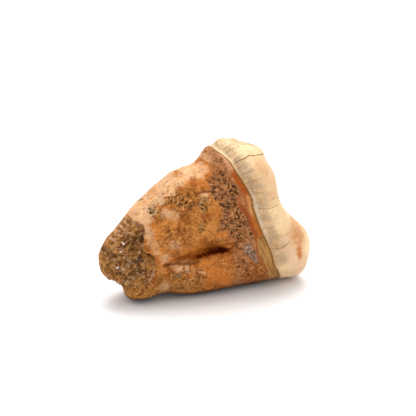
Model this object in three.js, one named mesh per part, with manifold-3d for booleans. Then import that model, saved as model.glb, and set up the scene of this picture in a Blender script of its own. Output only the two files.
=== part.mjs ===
// Fossil cave bear tooth: a lower cheek tooth with its roots grown together, as one solid lying at rest.
// Units are millimetres, +Z is up and the tooth rests on Z = 0 with its box centred on X = Y = 0.
//
// The form is worked out in the tooth's own frame and laid down at the end:
//   l  along the row of teeth, back end of the tooth positive, front end negative
//   b  across the tooth, positive towards the side with the open furrow
//   h  along the tooth, 0 at the neck, positive into the crown, negative down the roots
// The surface is a grid of rings. Each ring is a superellipse between the two edge curves and the half
// breadth. A rounded cap closes the root tips and a second one, raised into cusps, is the chewing face.
// Hollows, ledges and lumps then move each point along the surface's normal.

import * as THREE from 'three';
import { mergeVertices } from 'three/addons/utils/BufferGeometryUtils.js';
import Module from 'manifold-3d';

// ---- driving dimensions ----
const lieAngle = 21.5;        // between the tooth's long axis and the floor, degrees
const restDepth = 0.2;        // how much of the underside is flat where it rests
const tipRingHeight = -21.2;  // h of the ring where the root tips begin to round over
const wallTopHeight = 4.0;    // h of the ring where the crown's wall turns into the chewing face

// [h, l] down the back edge and the front edge of the tooth
const backEdge = [
  [-21.5, 8.35], [-19.0, 9.55], [-16.0, 10.9], [-13.0, 11.6], [-10.0, 12.15], [-7.8, 12.6], [-5.6, 12.3],
  [-3.9, 11.9], [-2.5, 12.2], [-1.5, 12.8], [-0.8, 13.1], [-0.2, 12.95], [0.5, 12.85], [1.4, 13.0],
  [2.4, 13.05], [3.2, 12.8], [4.2, 12.0], [5.2, 11.1],
];
const frontEdge = [
  [-21.5, -4.6], [-19.8, -4.55], [-18.0, -5.0], [-16.5, -6.1], [-15.0, -7.2], [-13.0, -8.35],
  [-11.0, -9.1], [-9.0, -9.75], [-7.0, -10.35], [-5.0, -11.05], [-3.5, -11.9], [-1.5, -12.85],
  [0.0, -13.4], [1.2, -13.6], [2.6, -14.05], [4.0, -14.35], [5.2, -14.2],
];
// [h, half breadth]
const halfBreadth = [
  [-21.5, 4.6], [-18.0, 5.4], [-12.0, 6.6], [-6.0, 7.4], [-1.0, 7.8], [0.0, 8.0], [2.5, 8.8], [4.5, 8.6],
];
// [l, h] where the enamel ends over the root
const enamelEdge = [
  [-14, 0.9], [-11.5, 0.75], [-10, 0.5], [-8, 0.15], [-6, 0.3], [-4, 0.3], [-1, 0.15], [2, 0.3],
  [4, 0.55], [5, 0.85], [7.5, 0.88], [10, 0.68], [12, 0.62], [13, 0.2], [14, -0.1],
];
const enamelEdgeReach = 5;    // how far down the root the rings still follow the enamel's edge
// how far the enamel stands out over the root, over what width, and where along l it fades out at the back
const enamelStep = { rise: 0.25, width: 0.5, fadesAt: 8, endsAt: 12.5 };

// section: fullness 2 is an ellipse, higher is squarer; the front end (from and to are shares of the
// half length) and the crown (from and to are heights) are squarer, the back and both ends slimmer
const sideFullness = 2.45;
const frontFullness = { extra: 0.55, from: 0.2, to: -1.0 };
const crownFullness = { extra: 0.25, from: -3, to: 1 };
const backNarrowing = 0.13;
const endNarrowing = 0.03;

// root tips: a short one in front, a long one behind, and the notch between them
const tips = {
  shortReach: 3.65, longReach: 4.8, stepFrom: -3.0, stepTo: 3.4,
  notchAt: -0.9, notchWidth: 1.4, notchDepth: 1.0,
  farWear: 0.9, wearFromB: 0.5, wearToB: -2.5,   // the short tip is worn back on its far side
  backRoundness: 4.3, sideRoundness: 4.2, frontRoundness: 6,
};

// chewing face: a rounded rim, cusps along it, and low tubercles in a shallow basin
const rim = { rise: 1.45, roundness: 3.2 };
const basin = { l: -0.5, b: 0, depth: 1.5, alongL: 8.5, acrossB: 3.8 };
const cusps = [
  { l: -7.7, b: 6.6, rise: 3.2, alongL: 5.6, acrossB: 3.2 },
  { l: 6.6, b: 5.4, rise: 1.7, alongL: 3.2, acrossB: 3.0 },
  { l: 9.8, b: 1.8, rise: 2.5, alongL: 2.2, acrossB: 2.8 },
  { l: 8.6, b: -3.4, rise: 1.9, alongL: 2.2, acrossB: 2.6 },
  { l: 3.4, b: -6.2, rise: 2.1, alongL: 2.6, acrossB: 2.6 },
  { l: -2.6, b: -6.6, rise: 2.3, alongL: 2.4, acrossB: 2.6 },
  { l: -8.6, b: -5.6, rise: 3.0, alongL: 3.0, acrossB: 3.0 },
  { l: -12.2, b: 1.5, rise: 1.5, alongL: 2.4, acrossB: 3.0 },
];
const tubercles = [   // [l, b]
  [-9.6, -1.4], [-8.2, 2.2], [-6.0, -1.2], [-4.2, 2.0], [-2.6, -1.6], [-0.6, 1.4], [1.2, -1.8], [3.0, 1.2],
  [4.8, -1.6], [6.4, 1.0],
];
const tubercle = { rise: 0.75, radius: 1.15 };
const wallRib = { spacing: 2.6, rise: 0.07, fullAt: 1 };   // full at this distance over the enamel's edge

// furrows between the grown-together roots, [h, l] along their floor
const openFurrow = {
  side: 1,
  line: [
    [-19, 2.1], [-16, 1.6], [-13, 0.95], [-11, 0.5], [-9.7, 0.1], [-8.4, -0.4], [-6.9, -1.2], [-4, -1.8],
  ],
  depth: 1.75, startsAt: -18.5, fullAt: -9.6, fadesAt: -7.3, endsAt: -5.6, upperWidth: 2.1, lowerWidth: 0.8,
};
const shallowFurrow = {
  side: -1, line: [[-24, 2.2], [-17, 2.0], [-10, 1.2], [-3, 0.4]],
  depth: 1.0, startsAt: -22.0, fullAt: -14.0, fadesAt: -6.0, endsAt: -2.5, upperWidth: 2.2, lowerWidth: 1.7,
};
const furrowReachB = 3;       // a furrow grows to its depth over this distance from the middle plane
const furrowLip = {
  rise: 0.35, offset: -1.1, width: 0.6, startsAt: -14, fullAt: -10, fadesAt: -7, endsAt: -5,
};

// broken face on the tips, [l, h] along its ragged upper edge
const breakEdge = [
  [-3.5, -25.0], [-2.2, -23.2], [-0.6, -20.9], [0.5, -19.2], [1.4, -18.8], [2.6, -18.2], [3.4, -18.1],
  [4.2, -18.3], [5.2, -19.3], [6.2, -18.8], [7.2, -18.2], [8.2, -17.6], [9.3, -17.3], [10.0, -18.3],
  [11.0, -19.5],
];
const breakHollow = {
  depth: 0.6, lumps: 0.3, lumpSize: 1.5, edgeWidth: 0.6,
  fromB: -1.0, toB: 1.0, fromL: -0.9, toL: 0.3,   // it fades in across the tooth and above the short tip
};

// single hollows (negative rise) and swellings on the side with the furrow, by l and h
const spotsFromB = 1;
const spotsFullAtB = 4;
const spots = [
  { l: 1.9, h: -19.2, rise: -0.5, alongL: 1.2, alongH: 0.6 },    // deep corner of the break
  { l: 3.2, h: -18.1, rise: 0.3, alongL: 1.3, alongH: 0.35 },    // curled ledge over it
  { l: 0.2, h: -18.0, rise: 0.3, alongL: 0.9, alongH: 0.9 },
  { l: -0.9, h: -13.2, rise: 0.35, alongL: 0.6, alongH: 2.6 },   // flake below the furrow
  { l: -2.4, h: -14.4, rise: -0.25, alongL: 0.9, alongH: 1.6 },
  { l: -5.5, h: -7.5, rise: 0.3, alongL: 2.4, alongH: 3.5 },     // swelling of the front root
  { l: 7.0, h: -9.0, rise: 0.3, alongL: 3.0, alongH: 5.0 },      // swelling of the back root
  { l: 9.6, h: -3.4, rise: -0.35, alongL: 2.2, alongH: 1.3 },    // dip under the neck
  { l: 4.4, h: -4.4, rise: -0.22, alongL: 1.7, alongH: 1.6 },    // worn, pitted patches
  { l: 8.8, h: -14.2, rise: -0.18, alongL: 1.2, alongH: 1.6 },
  { l: 6.4, h: -9.6, rise: -0.25, alongL: 1.0, alongH: 1.0 },
  { l: -5.3, h: -3.2, rise: -0.2, alongL: 1.5, alongH: 0.8 },
  { l: 1.2, h: 3.2, rise: -0.2, alongL: 1.6, alongH: 2.6 },     // groove between the crown's two cusps
];
// slow unevenness of the whole root: [size, rise], ending a little over the enamel's edge
const rootLumps = [[5.5, 0.22], [2.2, 0.1]];
const lumpsEnd = { from: 0.3, to: -1.0 };

// grid: rings in each zone, and points round each ring
const rings = { tips: 9, root: 28, wall: 8, chewing: 15 };
const pointsRound = 80;
const crowding = 0.3;         // points stand closer on the furrow's side by this share

// ---- small functions ----
const radians = THREE.MathUtils.degToRad;
const smooth = (from, to, x) => {
  const t = Math.min(Math.max((x - from) / (to - from), 0), 1);
  return t * t * (3 - 2 * t);
};
const bell = (u, v = 0) => Math.exp(-(u * u + v * v));
const signedPower = (x, power) => Math.sign(x) * Math.abs(x) ** power;

// smooth curve through [x, y] points: a cubic Hermite whose slopes are those of the neighbours
function curveThrough(points) {
  const last = points.length - 1;
  const slope = points.map((point, i) => {
    if (i === 0) return (points[1][1] - point[1]) / (points[1][0] - point[0]);
    if (i === last) return (point[1] - points[i - 1][1]) / (point[0] - points[i - 1][0]);
    const before = point[0] - points[i - 1][0];
    const after = points[i + 1][0] - point[0];
    const slopeBefore = (point[1] - points[i - 1][1]) / before;
    const slopeAfter = (points[i + 1][1] - point[1]) / after;
    return (slopeBefore * after + slopeAfter * before) / (before + after);
  });
  return (x) => {
    let i = 0;
    while (i < last - 1 && points[i + 1][0] < x) i += 1;
    const step = points[i + 1][0] - points[i][0];
    const t = Math.min(Math.max((x - points[i][0]) / step, 0), 1);
    return (2 * t ** 3 - 3 * t ** 2 + 1) * points[i][1] + (t ** 3 - 2 * t ** 2 + t) * step * slope[i]
      + (3 * t ** 2 - 2 * t ** 3) * points[i + 1][1] + (t ** 3 - t ** 2) * step * slope[i + 1];
  };
}

// even, repeatable unevenness between -1 and 1: random values on a unit lattice, smoothly joined
function unevenness(x, y, z) {
  const corner = (i, j, k) => {
    const value = Math.sin(i * 127.1 + j * 311.7 + k * 74.7) * 43758.5453;
    return value - Math.floor(value);
  };
  const [i, j, k] = [x, y, z].map(Math.floor);
  const [u, v, w] = [x - i, y - j, z - k].map((t) => t * t * (3 - 2 * t));
  const mix = THREE.MathUtils.lerp;
  const layer = (dk) => mix(
    mix(corner(i, j, k + dk), corner(i + 1, j, k + dk), u),
    mix(corner(i, j + 1, k + dk), corner(i + 1, j + 1, k + dk), u),
    v,
  );
  return 2 * mix(layer(0), layer(1), w) - 1;
}

const backAt = curveThrough(backEdge);
const frontAt = curveThrough(frontEdge);
const breadthAt = curveThrough(halfBreadth);
const enamelEdgeAt = curveThrough(enamelEdge);
const breakEdgeAt = curveThrough(breakEdge);

// ---- the smooth form ----
// ring list from the root tips to the chewing face; spread shrinks to 0 at both ends
function ringList() {
  const list = [];
  const spreadAt = (share) => Math.sin(share * Math.PI / 2);
  for (let i = 0; i <= rings.tips; i += 1) {
    list.push({ zone: 'tips', height: tipRingHeight, spread: spreadAt(i / rings.tips) });
  }
  for (let i = 1; i <= rings.root; i += 1) {
    list.push({ zone: 'root', height: tipRingHeight * (1 - i / rings.root), spread: 1 });
  }
  for (let i = 1; i <= rings.wall; i += 1) {
    list.push({ zone: 'wall', height: wallTopHeight * i / rings.wall, spread: 1 });
  }
  for (let i = rings.chewing - 1; i >= 0; i -= 1) {
    list.push({ zone: 'chewing', height: wallTopHeight, spread: spreadAt(i / rings.chewing) });
  }
  return list;
}

// how far the root tips reach below their ring, at a place in the section
function tipReach(l, b) {
  const long = smooth(tips.stepFrom, tips.stepTo, l);
  const worn = tips.farWear * smooth(tips.wearFromB, tips.wearToB, b) * (1 - long);
  return tips.shortReach + (tips.longReach - tips.shortReach) * long - worn
    - tips.notchDepth * bell((l - tips.notchAt) / tips.notchWidth);
}

function chewingRise(l, b) {
  const onCusps = cusps.map((cusp) => cusp.rise * bell((l - cusp.l) / cusp.alongL, (b - cusp.b) / cusp.acrossB));
  const onTubercles = tubercles.map(([atL, atB]) => (
    tubercle.rise * bell((l - atL) / tubercle.radius, (b - atB) / tubercle.radius)));
  return [...onCusps, ...onTubercles].reduce((sum, rise) => sum + rise, rim.rise)
    - basin.depth * bell((l - basin.l) / basin.alongL, (b - basin.b) / basin.acrossB);
}

function smoothPoint({ zone, height, spread }, angle) {
  const along = Math.cos(angle);
  const across = Math.sin(angle);
  const fullness = sideFullness
    + frontFullness.extra * smooth(frontFullness.from, frontFullness.to, along)
    + crownFullness.extra * smooth(crownFullness.from, crownFullness.to, height);
  const c = signedPower(along, 2 / fullness);
  const s = signedPower(across, 2 / fullness);
  const middle = (backAt(height) + frontAt(height)) / 2;
  const halfLength = (backAt(height) - frontAt(height)) / 2;
  const l = middle + halfLength * spread * c;
  const b = breadthAt(height) * spread * s * (1 - backNarrowing * c - endNarrowing * c * c);
  const follow = smooth(-enamelEdgeReach, 0, height) * smooth(wallTopHeight, 0, height);
  let h = height + enamelEdgeAt(l) * follow;
  if (zone === 'tips') {
    const endRoundness = c > 0 ? tips.backRoundness : tips.frontRoundness;
    h -= tipReach(l, b) * (1 - spread ** THREE.MathUtils.lerp(tips.sideRoundness, endRoundness, c * c));
  }
  if (zone === 'chewing') {
    h += chewingRise(l, b) * (1 - spread ** rim.roundness) ** (1 / rim.roundness);
  }
  return new THREE.Vector3(l, b, h);
}

// ---- relief, outwards positive ----
function furrowRelief(furrow, lineAt, { x: l, y: b, z: h }) {
  const off = l - lineAt(h);
  const width = off > 0 ? furrow.upperWidth : furrow.lowerWidth;
  const length = smooth(furrow.startsAt, furrow.fullAt, h) * smooth(furrow.endsAt, furrow.fadesAt, h);
  return -furrow.depth * bell(off / width) * length * smooth(0, furrowReachB, furrow.side * b);
}

function breakRelief({ x: l, y: b, z: h }) {
  const inside = smooth(breakHollow.edgeWidth, -breakHollow.edgeWidth, h - breakEdgeAt(l))
    * smooth(breakHollow.fromB, breakHollow.toB, b) * smooth(breakHollow.fromL, breakHollow.toL, l);
  const size = breakHollow.lumpSize;
  return inside * (breakHollow.lumps * unevenness(l / size, b / size, h / size) - breakHollow.depth);
}

function crownRelief({ x: l, y: b, z: h }) {
  const overEdge = h - enamelEdgeAt(l);
  const step = enamelStep.rise * smooth(0, enamelStep.width, overEdge)
    * smooth(enamelStep.endsAt, enamelStep.fadesAt, l);
  const ribs = wallRib.rise * unevenness(l / wallRib.spacing, b / wallRib.spacing, 0);
  return step + ribs * smooth(0, wallRib.fullAt, overEdge);
}

const openFurrowAt = curveThrough(openFurrow.line);
const shallowFurrowAt = curveThrough(shallowFurrow.line);

function lipRelief({ x: l, y: b, z: h }) {
  const length = smooth(furrowLip.startsAt, furrowLip.fullAt, h) * smooth(furrowLip.endsAt, furrowLip.fadesAt, h);
  const off = l - openFurrowAt(h) - furrowLip.offset;
  return furrowLip.rise * bell(off / furrowLip.width) * length * smooth(0, furrowReachB, b);
}

function relief(point) {
  const { x: l, y: b, z: h } = point;
  let out = furrowRelief(openFurrow, openFurrowAt, point) + furrowRelief(shallowFurrow, shallowFurrowAt, point);
  out += lipRelief(point) + breakRelief(point) + crownRelief(point);
  const onSide = smooth(spotsFromB, spotsFullAtB, b);
  for (const spot of spots) {
    out += spot.rise * bell((l - spot.l) / spot.alongL, (h - spot.h) / spot.alongH) * onSide;
  }
  const onRoot = smooth(lumpsEnd.from, lumpsEnd.to, h - enamelEdgeAt(l));
  for (const [size, rise] of rootLumps) {
    out += onRoot * rise * unevenness(l / size, b / size, h / size);
  }
  return out;
}

// ---- grid to solid ----
function reliefGrid() {
  const list = ringList();
  const angleAt = (j) => {
    const even = (j / pointsRound) * 2 * Math.PI;
    return even + crowding * Math.cos(even);
  };
  const angles = Array.from({ length: pointsRound }, (_, j) => angleAt(j));
  const smoothGrid = list.map((ring) => angles.map((angle) => smoothPoint(ring, angle)));
  return smoothGrid.map((ring, i) => ring.map((point, j) => {
    if (list[i].spread === 0) return point.clone();
    const next = smoothGrid[i + 1][j];
    const previous = smoothGrid[i - 1][j];
    const right = ring[(j + 1) % pointsRound];
    const left = ring[(j + pointsRound - 1) % pointsRound];
    const normal = right.clone().sub(left).cross(next.clone().sub(previous)).normalize();
    return point.clone().addScaledVector(normal, relief(point));
  }));
}

// tooth frame to the part's frame: x along the floor, z up, furrow side towards -Y
function layDown({ x: l, y: b, z: h }) {
  const angle = radians(lieAngle);
  return new THREE.Vector3(
    h * Math.cos(angle) - l * Math.sin(angle),
    -b,
    h * Math.sin(angle) + l * Math.cos(angle),
  );
}

function surfaceOf(grid) {
  const positions = grid.flatMap((ring) => ring.flatMap((point) => layDown(point).toArray()));
  const at = (i, j) => i * pointsRound + (j % pointsRound);
  const index = [];
  for (let i = 0; i < grid.length - 1; i += 1) {
    for (let j = 0; j < pointsRound; j += 1) {
      if (i < grid.length - 2) index.push(at(i, j), at(i + 1, j + 1), at(i + 1, j));
      if (i > 0) index.push(at(i, j), at(i, j + 1), at(i + 1, j + 1));
    }
  }
  const geometry = new THREE.BufferGeometry();
  geometry.setAttribute('position', new THREE.Float32BufferAttribute(positions, 3));
  geometry.setIndex(index);
  return geometry;
}

const wasm = await Module();
wasm.setup();

function toSolid(geometry) {
  const bare = geometry.clone();
  bare.deleteAttribute('normal');
  bare.deleteAttribute('uv');
  const merged = mergeVertices(bare, 1e-5);
  return new wasm.Manifold(new wasm.Mesh({
    numProp: 3,
    vertProperties: merged.attributes.position.array,
    triVerts: new Uint32Array(merged.index.array),
  }));
}

function toGeometry(solid) {
  const mesh = solid.getMesh();
  const geometry = new THREE.BufferGeometry();
  geometry.setAttribute('position', new THREE.BufferAttribute(new Float32Array(mesh.vertProperties), 3));
  geometry.setIndex(new THREE.BufferAttribute(new Uint32Array(mesh.triVerts), 1));
  geometry.computeVertexNormals();
  return geometry;
}

// centre the box on X = Y = 0, sink the tooth by the rest depth and cut it off flat at Z = 0
function seatOnFloor(geometry) {
  geometry.computeBoundingBox();
  const { min, max } = geometry.boundingBox;
  geometry.translate(-(min.x + max.x) / 2, -(min.y + max.y) / 2, -min.z - restDepth);
  const floorSize = 100;
  const floor = new THREE.BoxGeometry(floorSize, floorSize, floorSize);
  floor.translate(0, 0, -floorSize / 2);
  return toGeometry(toSolid(geometry).subtract(toSolid(floor)));
}

const fossilMaterial = new THREE.MeshStandardMaterial({ color: '#b87d4c', roughness: 0.7, metalness: 0 });
const tooth = new THREE.Mesh(seatOnFloor(surfaceOf(reliefGrid())), fossilMaterial);
tooth.name = 'tooth';

const part = new THREE.Group();
part.add(tooth);

export default part;
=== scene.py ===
import bpy
import numpy as np
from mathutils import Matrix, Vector


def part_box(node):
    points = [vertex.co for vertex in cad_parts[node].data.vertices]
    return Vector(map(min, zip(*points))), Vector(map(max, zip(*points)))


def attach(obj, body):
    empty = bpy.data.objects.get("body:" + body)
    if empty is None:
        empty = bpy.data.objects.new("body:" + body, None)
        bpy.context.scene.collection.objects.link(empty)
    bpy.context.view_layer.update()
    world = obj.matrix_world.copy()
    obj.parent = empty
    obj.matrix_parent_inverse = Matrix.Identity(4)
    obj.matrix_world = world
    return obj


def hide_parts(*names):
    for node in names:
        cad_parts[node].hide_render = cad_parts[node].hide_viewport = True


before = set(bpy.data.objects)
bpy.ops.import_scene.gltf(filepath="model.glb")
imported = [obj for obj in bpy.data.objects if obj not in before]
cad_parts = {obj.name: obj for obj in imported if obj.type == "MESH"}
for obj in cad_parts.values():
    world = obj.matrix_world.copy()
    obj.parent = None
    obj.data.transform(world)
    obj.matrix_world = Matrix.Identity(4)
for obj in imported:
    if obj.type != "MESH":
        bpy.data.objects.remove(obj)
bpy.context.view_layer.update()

mm = 0.001
print("frame loaded")

# The tooth's own frame, in millimetres, laid down at the end:
#   l along the row of teeth, back end positive;  b across, positive towards the open furrow
#   h along the tooth, 0 at the neck, positive into the crown, negative down the roots
tooth = {
    "lieAngle": 21.5,        # degrees between the tooth's long axis and the floor
    "tipRingHeight": -21.2,  # where the root tips begin to round over
    "wallTopHeight": 4,      # where the crown's wall turns into the chewing face
    "backEdge": [            # (h, l)
        (-21.5, 8.35), (-19, 9.55), (-16, 10.9), (-13, 11.6), (-10, 12.15), (-7.8, 12.6), (-5.6, 12.3), (-3.9, 11.9),
        (-2.5, 12.2), (-1.5, 12.8), (-0.8, 13.1), (-0.2, 12.95), (0.5, 12.85), (1.4, 13), (2.4, 13.05), (3.2, 12.8),
        (4.2, 12), (5.2, 11.1)],
    "frontEdge": [           # (h, l)
        (-21.5, -4.6), (-19.8, -4.55), (-18, -5), (-16.5, -6.1), (-15, -7.2), (-13, -8.35), (-11, -9.1), (-9, -9.75),
        (-7, -10.35), (-5, -11.05), (-3.5, -11.9), (-1.5, -12.85), (0, -13.4), (1.2, -13.6), (2.6, -14.05),
        (4, -14.35), (5.2, -14.2)],
    "halfBreadth": [         # (h, b)
        (-21.5, 4.6), (-18, 5.4), (-12, 6.6), (-6, 7.4), (-1, 7.8), (0, 8), (2.5, 8.8), (4.5, 8.6)],
    "enamelEdge": [          # (l, h) where the enamel ends over the root
        (-14, 0.9), (-11.5, 0.75), (-10, 0.5), (-8, 0.15), (-6, 0.3), (-4, 0.3), (-1, 0.15), (2, 0.3), (4, 0.55),
        (5, 0.85), (7.5, 0.88), (10, 0.68), (12, 0.62), (13, 0.2), (14, -0.1)],
    "enamelEdgeReach": 5,    # how far down the root its waves fade out
    "sideFullness": 2.45,    # 2 is an ellipse, higher is squarer
    "frontFullness": {"extra": 0.55, "start": 0.2, "end": -1},
    "crownFullness": {"extra": 0.25, "start": -3, "end": 1},
    "backNarrowing": 0.13,
    "endNarrowing": 0.03,
}
tips = {
    "shortReach": 3.65, "longReach": 4.8, "stepFrom": -3, "stepTo": 3.4,
    "notchAt": -0.9, "notchWidth": 1.4, "notchDepth": 1,
    "farWear": 0.9, "wearFromB": 0.5, "wearToB": -2.5,
    "backRoundness": 4.3, "sideRoundness": 4.2, "frontRoundness": 6,
}
chewingFace = {
    "rimRise": 1.45, "rimRoundness": 3.2,
    "basin": {"l": -0.5, "b": 0, "depth": 1.5, "alongL": 8.5, "acrossB": 3.8},
    "cusps": [               # (l, b, rise, along l, across b)
        (-7.7, 6.6, 3.2, 5.6, 3.2), (6.6, 5.4, 1.7, 3.2, 3), (9.8, 1.8, 2.5, 2.2, 2.8), (8.6, -3.4, 1.9, 2.2, 2.6),
        (3.4, -6.2, 2.1, 2.6, 2.6), (-2.6, -6.6, 2.3, 2.4, 2.6), (-8.6, -5.6, 3, 3, 3), (-12.2, 1.5, 1.5, 2.4, 3)],
    "tubercles": [           # (l, b)
        (-9.6, -1.4), (-8.2, 2.2), (-6, -1.2), (-4.2, 2), (-2.6, -1.6), (-0.6, 1.4), (1.2, -1.8), (3, 1.2),
        (4.8, -1.6), (6.4, 1)],
    "tubercleRise": 0.75, "tubercleRadius": 1.15,
}
grid = {
    "rows": {"tips": 44, "root": 142, "wall": 30, "chewing": 58},
    "columns": 360,
    "crowding": 0.3,         # columns stand closer on the furrow's side by this share
    "edgeCrowding": 1.18,    # rows stand closer towards the enamel's edge
}


def smoothStep(start, end, x):
    # t = share of the way from start to end, kept in 0..1; value = 3t^2 - 2t^3
    t = np.clip((x - start) / (end - start), 0, 1)
    return t * t * (3 - 2 * t)


def bell(u, v=0.0):
    # exp(-(u^2 + v^2))
    return np.exp(-(u * u + v * v))


def curveThrough(points):
    # cubic Hermite through the points, each slope the distance-weighted mean of its neighbours' slopes
    px, py = np.array(points, float).T
    slope = np.gradient(py, px)

    def curve(x):
        i = np.clip(np.searchsorted(px, x, side="left") - 1, 0, len(px) - 2)
        step = px[i + 1] - px[i]
        t = np.clip((x - px[i]) / step, 0, 1)
        return ((2 * t**3 - 3 * t**2 + 1) * py[i] + (t**3 - 2 * t**2 + t) * step * slope[i]
                + (3 * t**2 - 2 * t**3) * py[i + 1] + (t**3 - t**2) * step * slope[i + 1])
    return curve


def latticeRandom(i, j, k):
    # fraction of sin(127.1 i + 311.7 j + 74.7 k) * 43758.5453, a repeatable random value per lattice corner
    value = np.sin(i * 127.1 + j * 311.7 + k * 74.7) * 43758.5453
    return value - np.floor(value)


def unevenness(x, y, z):
    # value noise: random values at the corners of a unit lattice, joined by 3t^2 - 2t^3, from -1 to 1
    cell = [np.floor(v) for v in (x, y, z)]
    share = [(v - c) ** 2 * (3 - 2 * (v - c)) for v, c in zip((x, y, z), cell)]
    total = 0
    for corner in np.ndindex(2, 2, 2):
        weight = 1
        for s, side in zip(share, corner):
            weight = weight * (s if side else 1 - s)
        total = total + weight * latticeRandom(*[c + side for c, side in zip(cell, corner)])
    return 2 * total - 1


def unevenAt(place, size, shift=0):
    # value noise whose lumps are size wide; shift picks another part of it
    l, b, h = place
    return unevenness(l / size + shift, b / size, h / size)


def nearestCell(x, y, z, seed):
    # cellular noise: every unit cell holds one random point; gives the distance to the nearest point, a
    # random value that belongs to it, and the way from it
    cell = [np.floor(v) for v in (x, y, z)]
    nearest = np.full(np.shape(x), 9.0)
    owner = np.zeros(np.shape(x))
    way = [np.zeros(np.shape(x)) for _ in range(3)]
    for di, dj, dk in np.ndindex(3, 3, 3):
        i, j, k = cell[0] + di - 1, cell[1] + dj - 1, cell[2] + dk - 1
        step = (x - i - latticeRandom(i + seed, j, k), y - j - latticeRandom(i, j + seed + 17, k),
                z - k - latticeRandom(i, j, k + seed + 31))
        distance = np.sqrt(step[0]**2 + step[1]**2 + step[2]**2)
        closer = distance < nearest
        nearest = np.where(closer, distance, nearest)
        owner = np.where(closer, latticeRandom(i + seed + 5, j + 3, k + 7), owner)
        way = [np.where(closer, new, old) for new, old in zip(step, way)]
    return nearest, owner, way


backAt = curveThrough(tooth["backEdge"])
frontAt = curveThrough(tooth["frontEdge"])
breadthAt = curveThrough(tooth["halfBreadth"])
enamelEdgeAt = curveThrough(tooth["enamelEdge"])


def gridRows():
    # spread = sin(share * 90 degrees) on both caps and 1 between them; height follows share^edgeCrowding
    # from the neck down to the tips' ring, and share up to the wall's top
    rows = grid["rows"]
    top, bottom = tooth["wallTopHeight"], tooth["tipRingHeight"]
    quarter = np.pi / 2
    tipShare = np.arange(rows["tips"] + 1) / rows["tips"]
    rootShare = np.arange(1, rows["root"] + 1) / rows["root"]
    wallShare = np.arange(1, rows["wall"] + 1) / rows["wall"]
    faceShare = np.arange(rows["chewing"] - 1, -1, -1) / rows["chewing"]
    height = np.concatenate([
        np.full(tipShare.size, bottom), bottom * (1 - rootShare) ** grid["edgeCrowding"],
        top * wallShare, np.full(faceShare.size, top)])
    spread = np.concatenate([
        np.sin(tipShare * quarter), np.ones(rootShare.size + wallShare.size), np.sin(faceShare * quarter)])
    zone = np.repeat(["tips", "root", "wall", "face"],
                     [tipShare.size, rootShare.size, wallShare.size, faceShare.size])
    return height[:, None], spread[:, None], zone[:, None]


def tipReach(l, b):
    # short reach in front, long behind, less a bell-shaped notch between them and wear on the far side
    isLong = smoothStep(tips["stepFrom"], tips["stepTo"], l)
    worn = tips["farWear"] * smoothStep(tips["wearFromB"], tips["wearToB"], b) * (1 - isLong)
    notch = tips["notchDepth"] * bell((l - tips["notchAt"]) / tips["notchWidth"])
    return tips["shortReach"] + (tips["longReach"] - tips["shortReach"]) * isLong - worn - notch


def chewingRise(l, b):
    # rim height plus a bell for each cusp and tubercle, less a wide bell for the basin
    rise = chewingFace["rimRise"] + 0 * l
    for atL, atB, height, alongL, acrossB in chewingFace["cusps"]:
        rise = rise + height * bell((l - atL) / alongL, (b - atB) / acrossB)
    radius = chewingFace["tubercleRadius"]
    for atL, atB in chewingFace["tubercles"]:
        rise = rise + chewingFace["tubercleRise"] * bell((l - atL) / radius, (b - atB) / radius)
    basin = chewingFace["basin"]
    return rise - basin["depth"] * bell((l - basin["l"]) / basin["alongL"], (b - basin["b"]) / basin["acrossB"])


def smoothSurface():
    # each row is a superellipse between the two edge curves and the half breadth; rows near the neck
    # follow the enamel's edge; h falls by tipReach * (1 - spread^m) on the tips' cap and rises by
    # chewingRise * (1 - spread^r)^(1/r) on the chewing face's
    height, spread, zone = gridRows()
    even = np.arange(grid["columns"]) / grid["columns"] * 2 * np.pi
    angle = (even + grid["crowding"] * np.cos(even))[None, :]
    along, across = np.cos(angle), np.sin(angle)
    front, crown = tooth["frontFullness"], tooth["crownFullness"]
    fullness = (tooth["sideFullness"] + front["extra"] * smoothStep(front["start"], front["end"], along)
                + crown["extra"] * smoothStep(crown["start"], crown["end"], height))
    c = np.sign(along) * np.abs(along) ** (2 / fullness)
    s = np.sign(across) * np.abs(across) ** (2 / fullness)
    middle = (backAt(height) + frontAt(height)) / 2
    halfLength = (backAt(height) - frontAt(height)) / 2
    l = middle + halfLength * spread * c
    b = breadthAt(height) * spread * s * (1 - tooth["backNarrowing"] * c - tooth["endNarrowing"] * c * c)
    follow = smoothStep(-tooth["enamelEdgeReach"], 0, height) * smoothStep(tooth["wallTopHeight"], 0, height)
    h = height + enamelEdgeAt(l) * follow
    endRoundness = np.where(c > 0, tips["backRoundness"], tips["frontRoundness"])
    roundness = tips["sideRoundness"] + (endRoundness - tips["sideRoundness"]) * c * c
    h = np.where(zone == "tips", h - tipReach(l, b) * (1 - spread**roundness), h)
    rim = chewingFace["rimRoundness"]
    h = np.where(zone == "face", h + chewingRise(l, b) * (1 - spread**rim) ** (1 / rim), h)
    return np.stack([l, b, h], axis=-1)


def normalsOf(points):
    # (difference along a row) x (difference across rows), made unit length, outwards; the poles' own rows
    # take the mean of the row beside them
    along = np.roll(points, -1, axis=1) - np.roll(points, 1, axis=1)
    across = np.gradient(points, axis=0)
    normal = np.cross(along, across)
    normal[0] = normal[1].mean(axis=0)
    normal[-1] = normal[-2].mean(axis=0)
    return normal / np.linalg.norm(normal, axis=-1, keepdims=True)


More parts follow.
